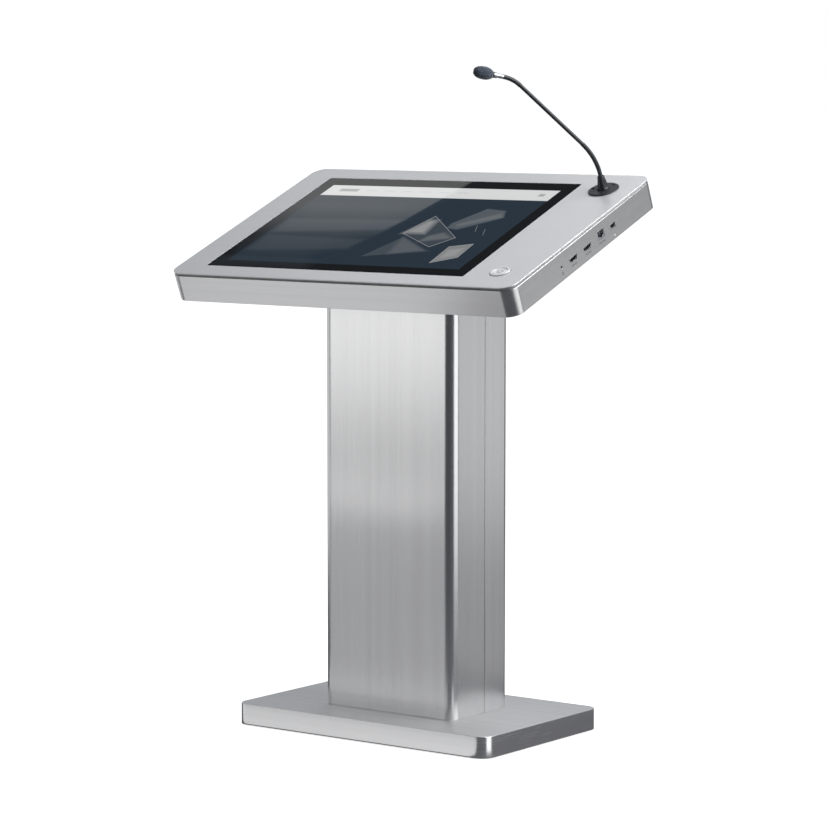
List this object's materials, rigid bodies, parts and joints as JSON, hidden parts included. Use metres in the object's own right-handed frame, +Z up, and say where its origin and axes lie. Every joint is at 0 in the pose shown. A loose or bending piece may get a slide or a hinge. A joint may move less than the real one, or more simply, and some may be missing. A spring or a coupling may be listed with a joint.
{
  "type": "touchscreen kiosk",
  "caption": "Free-standing touchscreen kiosk: steel base and column, sloping head with a flush screen, push button, gooseneck microphone and side sockets.",
  "frame": {"origin": "middle of the base's footprint, on the floor", "axes": "+Z up, +X to the user's right, +Y away from the user"},
  "size_m": [0.762, 0.466, 1.2145],
  "materials": {
    "brushed_steel": "brushed satin",
    "panel_steel": "brushed satin",
    "button_steel": "satin",
    "black_frame": "powder coat",
    "zinc": "zinc plate",
    "rubber": "matt",
    "seal": "matt",
    "clear_bead": "satin",
    "screen": "polished, black border and lit picture",
    "display_case": "satin",
    "clear_bond": "clear",
    "black_plastic": "satin",
    "board": "solder mask",
    "socket_shell": "nickel",
    "lamp": "clear",
    "neck_metal": "satin dark grey",
    "foam": "open foam",
    "switch_body": "satin"
  },
  "bodies": {
    "kiosk": {"floor_pads": "rubber", "ballast_plate": "black_frame", "base_cover": "brushed_steel", "base_sides": "brushed_steel", "base_corners": "brushed_steel", "base_spacers": "zinc", "column_bolts": "zinc", "column_frame": "black_frame", "column_front_shell": "brushed_steel", "column_rear_shell": "brushed_steel", "shell_screws": "zinc", "door_hinges": "button_steel", "door_hinge_pins": "zinc", "mains_inlet": "black_plastic", "inlet_screws": "zinc", "head_tray": "brushed_steel", "tray_bolts": "zinc", "panel_seal": "seal", "top_panel": "panel_steel", "glass_bead": "clear_bead", "screen_glass": "screen", "bonding_layer": "clear_bond", "display_module": "display_case", "display_rails": "zinc", "panel_nuts": "zinc", "computer": "black_frame", "power_supply": "zinc", "electronics_screws": "zinc", "port_board": "board", "port_board_posts": "zinc", "video_socket_front": "black_plastic", "video_socket_rear": "black_plastic", "network_socket": "socket_shell", "usb_socket": "socket_shell", "audio_jack": "black_plastic", "status_lamp": "lamp", "button_bezel": "button_steel", "button_nut": "zinc", "button_spring": "zinc", "button_switch": "switch_body", "mic_flange": "neck_metal", "mic_flange_screws": "zinc", "mic_socket": "black_plastic", "mic_boot": "rubber", "neck_flex_bottom": "neck_metal", "display_cable": "rubber", "mains_cable": "rubber", "signal_cables": "rubber"},
    "service_door": {"service_door": "brushed_steel", "door_hinge_leaves": "button_steel", "door_lock_barrel": "button_steel"},
    "lock_cam": {"door_lock_cam": "zinc"},
    "power_button": {"button_cap": "button_steel"},
    "neck_middle": {"neck_flex_middle": "neck_metal"},
    "neck_arm": {"neck_stem": "neck_metal", "neck_flex_top": "neck_metal"},
    "mic_head": {"mic_collar": "button_steel", "mic_capsule": "black_plastic", "mic_windscreen": "foam"}
  },
  "joints": [
    {"name": "button_press", "type": "slide", "parent": "kiosk", "child": "power_button", "axis": [0, 0.3746, -0.9272], "range_m": [0, 0.002], "stiffness_N_per_m": 800, "springref_m": -0.002, "deforming": ["button_spring"]},
    {"name": "mic_lean", "type": "hinge", "parent": "kiosk", "child": "neck_middle", "pos_m": [0.31719, 0.11501, 1.03273], "axis": [0.766, -0.596, -0.2408], "range_deg": [-30, 25], "deforming": ["neck_flex_bottom"]},
    {"name": "mic_swing", "type": "hinge", "parent": "neck_middle", "child": "neck_arm", "pos_m": [0.31078, 0.0949, 1.06212], "axis": [-0.5872, -0.4965, -0.6393], "range_deg": [-35, 35], "deforming": ["neck_flex_middle"]},
    {"name": "mic_nod", "type": "hinge", "parent": "neck_arm", "child": "mic_head", "pos_m": [0.24163, -0.04521, 1.18891], "axis": [0.766, -0.596, -0.2408], "range_deg": [-35, 45], "deforming": ["neck_flex_top"]},
    {"name": "door_swing", "type": "hinge", "parent": "kiosk", "child": "service_door", "pos_m": [0.088, 0.09, 0.41], "axis": [0, 0, -1], "range_deg": [0, 110]},
    {"name": "cam_turn", "type": "hinge", "parent": "service_door", "child": "lock_cam", "pos_m": [-0.066, 0.078, 0.41], "axis": [0, 1, 0], "range_deg": [0, 90]}
  ]
}
